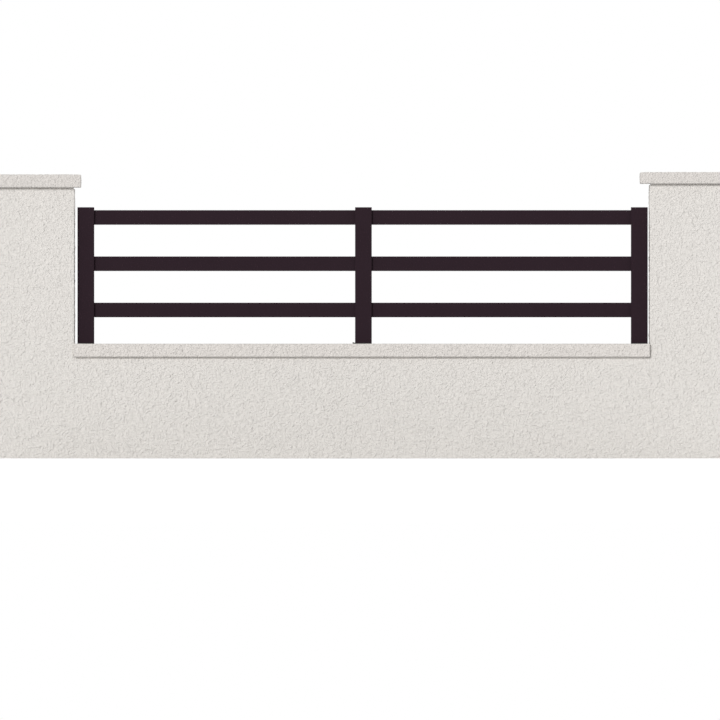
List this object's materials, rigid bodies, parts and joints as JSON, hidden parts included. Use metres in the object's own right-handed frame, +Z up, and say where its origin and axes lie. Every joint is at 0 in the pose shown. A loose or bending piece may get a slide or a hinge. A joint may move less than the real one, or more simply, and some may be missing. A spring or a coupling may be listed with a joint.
{
  "type": "slatted garden fence on a rendered wall with piers",
  "caption": "Slatted aluminium railing standing on the coping of a low rendered wall, between square rendered piers with flat caps.",
  "frame": {"origin": "on the ground, midway between the piers and at the middle of their depth", "axes": "+X along the fence to the right as seen from the street, +Y back from the street, +Z up"},
  "size_m": [3.64, 0.48, 1.374],
  "materials": {
    "render": "matte",
    "coping": "matte",
    "mortar": "matte",
    "railing": "matte",
    "pad": "matte",
    "wedge": "matte"
  },
  "bodies": {
    "root": {"left_pier": "render", "right_pier": "render", "base_wall": "render", "left_cap_bed": "mortar", "right_cap_bed": "mortar", "coping_bed": "mortar", "left_pier_cap": "coping", "right_pier_cap": "coping", "wall_coping": "coping", "left_foot_pad": "pad", "middle_foot_pad": "pad", "right_foot_pad": "pad", "levelling_wedge": "wedge", "left_foot": "railing", "middle_foot": "railing", "right_foot": "railing", "left_post": "railing", "middle_post": "railing", "right_post": "railing", "left_post_cap": "railing", "middle_post_cap": "railing", "right_post_cap": "railing", "left_bay_bottom_slat": "railing", "left_bay_middle_slat": "railing", "left_bay_top_slat": "railing", "right_bay_bottom_slat": "railing", "right_bay_middle_slat": "railing", "right_bay_top_slat": "railing"}
  },
  "joints": []
}
